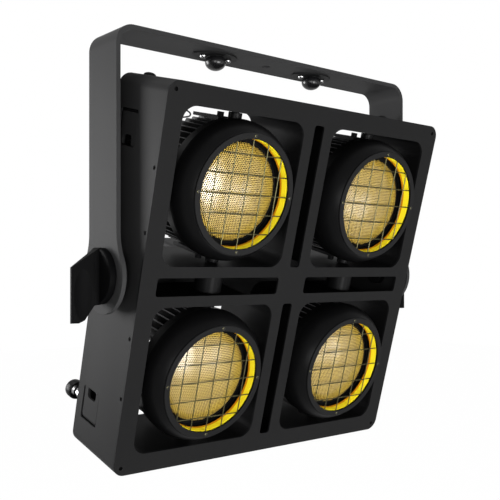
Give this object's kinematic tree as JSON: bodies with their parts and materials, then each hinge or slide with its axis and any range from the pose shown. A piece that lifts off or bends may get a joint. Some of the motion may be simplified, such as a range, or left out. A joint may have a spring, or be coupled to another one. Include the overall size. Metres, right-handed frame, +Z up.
{
  "type": "audience blinder light",
  "caption": "Square blinder light: round lamp pods with wire guards pan in an open box housing that tilts in a U-shaped yoke with clamp knobs.",
  "frame": {"origin": "centre of the clamp hole at the top face of the yoke bar", "axes": "+Z up along the clamp hole, +X to the right seen from the front along the tilt axis, the lamps face -Y"},
  "size_m": [0.6266, 0.2672, 0.5669],
  "materials": {
    "black_steel": "satin black powder coat",
    "black_aluminium": "satin black powder coat",
    "cast_black": "smooth matt black paint",
    "zinc_black": "blackened steel",
    "guard_wire": "dull steel wire",
    "bright_steel": "bright turned steel",
    "amber": "glossy ribbed yellow",
    "gold_lens": "gold honeycomb",
    "knob_black": "satin moulded black",
    "rubber_black": "matt rubber",
    "connector_black": "matt moulded",
    "display_glass": "glossy dark window",
    "panel_black": "matt printed film",
    "supply_case": "plain case with light filling"
  },
  "bodies": {
    "yoke": {"yoke": "black_steel", "bracket_sockets": "zinc_black", "friction_washers": "rubber_black"},
    "tilt_knob_left": {"knob_left": "knob_black"},
    "tilt_knob_right": {"knob_right": "knob_black"},
    "housing": {"housing_shell": "black_steel", "front_plate": "black_aluminium", "rear_plate": "black_aluminium", "cell_ducts": "black_aluminium", "tilt_hubs": "black_steel", "pan_posts": "zinc_black", "link_pockets": "black_aluminium", "link_plates": "black_steel", "link_hardware": "bright_steel", "housing_screws": "zinc_black", "top_bumpers": "rubber_black", "driver_box": "black_steel", "power_supply": "supply_case", "control_panel": "panel_black", "display": "display_glass", "power_sockets": "connector_black", "data_sockets": "connector_black", "safety_eye": "zinc_black", "lamp_leads": "rubber_black"},
    "pod_upper_left": {"bell_upper_left": "cast_black", "bezel_upper_left": "cast_black", "wire_guard_upper_left": "guard_wire", "amber_ring_upper_left": "amber", "lens_upper_left": "gold_lens", "heat_sink_upper_left": "cast_black", "pan_bracket_upper_left": "black_steel"},
    "pod_upper_right": {"bell_upper_right": "cast_black", "bezel_upper_right": "cast_black", "wire_guard_upper_right": "guard_wire", "amber_ring_upper_right": "amber", "lens_upper_right": "gold_lens", "heat_sink_upper_right": "cast_black", "pan_bracket_upper_right": "black_steel"},
    "pod_lower_left": {"bell_lower_left": "cast_black", "bezel_lower_left": "cast_black", "wire_guard_lower_left": "guard_wire", "amber_ring_lower_left": "amber", "lens_lower_left": "gold_lens", "heat_sink_lower_left": "cast_black", "pan_bracket_lower_left": "black_steel"},
    "pod_lower_right": {"bell_lower_right": "cast_black", "bezel_lower_right": "cast_black", "wire_guard_lower_right": "guard_wire", "amber_ring_lower_right": "amber", "lens_lower_right": "gold_lens", "heat_sink_lower_right": "cast_black", "pan_bracket_lower_right": "black_steel"},
    "plunger_upper_left": {"pull_knob_upper_left": "zinc_black"},
    "plunger_upper_right": {"pull_knob_upper_right": "zinc_black"},
    "plunger_lower_left": {"pull_knob_lower_left": "zinc_black"},
    "plunger_lower_right": {"pull_knob_lower_right": "zinc_black"},
    "button_upper_left": {"menu_button_upper_left": "connector_black"},
    "button_upper_right": {"menu_button_upper_right": "connector_black"},
    "button_lower_left": {"menu_button_lower_left": "connector_black"},
    "button_lower_right": {"menu_button_lower_right": "connector_black"}
  },
  "joints": [
    {"name": "tilt", "type": "hinge", "parent": "yoke", "child": "housing", "pos_m": [0, 0, -0.31], "axis": [1, 0, 0], "range_deg": [-105, 75]},
    {"name": "knob_turn_left", "type": "hinge", "parent": "yoke", "child": "tilt_knob_left", "pos_m": [-0.28, 0, -0.31], "axis": [1, 0, 0], "continuous": true},
    {"name": "knob_turn_right", "type": "hinge", "parent": "yoke", "child": "tilt_knob_right", "pos_m": [0.28, 0, -0.31], "axis": [1, 0, 0], "continuous": true},
    {"name": "pan_upper_left", "type": "hinge", "parent": "housing", "child": "pod_upper_left", "pos_m": [-0.1255, -0.05953, -0.19602], "axis": [0, -0.2588, 0.9659], "range_deg": [-10, 10], "deforming": ["lamp_leads"]},
    {"name": "pan_upper_right", "type": "hinge", "parent": "housing", "child": "pod_upper_right", "pos_m": [0.1255, -0.05953, -0.19602], "axis": [0, -0.2588, 0.9659], "range_deg": [-10, 10], "deforming": ["lamp_leads"]},
    {"name": "pan_lower_left", "type": "hinge", "parent": "housing", "child": "pod_lower_left", "pos_m": [-0.1255, 0.00544, -0.43847], "axis": [0, -0.2588, 0.9659], "range_deg": [-10, 10], "deforming": ["lamp_leads"]},
    {"name": "pan_lower_right", "type": "hinge", "parent": "housing", "child": "pod_lower_right", "pos_m": [0.1255, 0.00544, -0.43847], "axis": [0, -0.2588, 0.9659], "range_deg": [-10, 10], "deforming": ["lamp_leads"]},
    {"name": "pull_upper_left", "type": "slide", "parent": "housing", "child": "plunger_upper_left", "axis": [0, 0.9659, 0.2588], "range_m": [0, 0.008], "stiffness_N_per_m": 400, "springref_m": -0.004},
    {"name": "pull_upper_right", "type": "slide", "parent": "housing", "child": "plunger_upper_right", "axis": [0, 0.9659, 0.2588], "range_m": [0, 0.008], "stiffness_N_per_m": 400, "springref_m": -0.004},
    {"name": "pull_lower_left", "type": "slide", "parent": "housing", "child": "plunger_lower_left", "axis": [0, 0.9659, 0.2588], "range_m": [0, 0.008], "stiffness_N_per_m": 400, "springref_m": -0.004},
    {"name": "pull_lower_right", "type": "slide", "parent": "housing", "child": "plunger_lower_right", "axis": [0, 0.9659, 0.2588], "range_m": [0, 0.008], "stiffness_N_per_m": 400, "springref_m": -0.004},
    {"name": "press_upper_left", "type": "slide", "parent": "housing", "child": "button_upper_left", "axis": [0, -0.9659, -0.2588], "range_m": [0, 0.0015], "stiffness_N_per_m": 300, "springref_m": -0.001},
    {"name": "press_upper_right", "type": "slide", "parent": "housing", "child": "button_upper_right", "axis": [0, -0.9659, -0.2588], "range_m": [0, 0.0015], "stiffness_N_per_m": 300, "springref_m": -0.001},
    {"name": "press_lower_left", "type": "slide", "parent": "housing", "child": "button_lower_left", "axis": [0, -0.9659, -0.2588], "range_m": [0, 0.0015], "stiffness_N_per_m": 300, "springref_m": -0.001},
    {"name": "press_lower_right", "type": "slide", "parent": "housing", "child": "button_lower_right", "axis": [0, -0.9659, -0.2588], "range_m": [0, 0.0015], "stiffness_N_per_m": 300, "springref_m": -0.001}
  ]
}
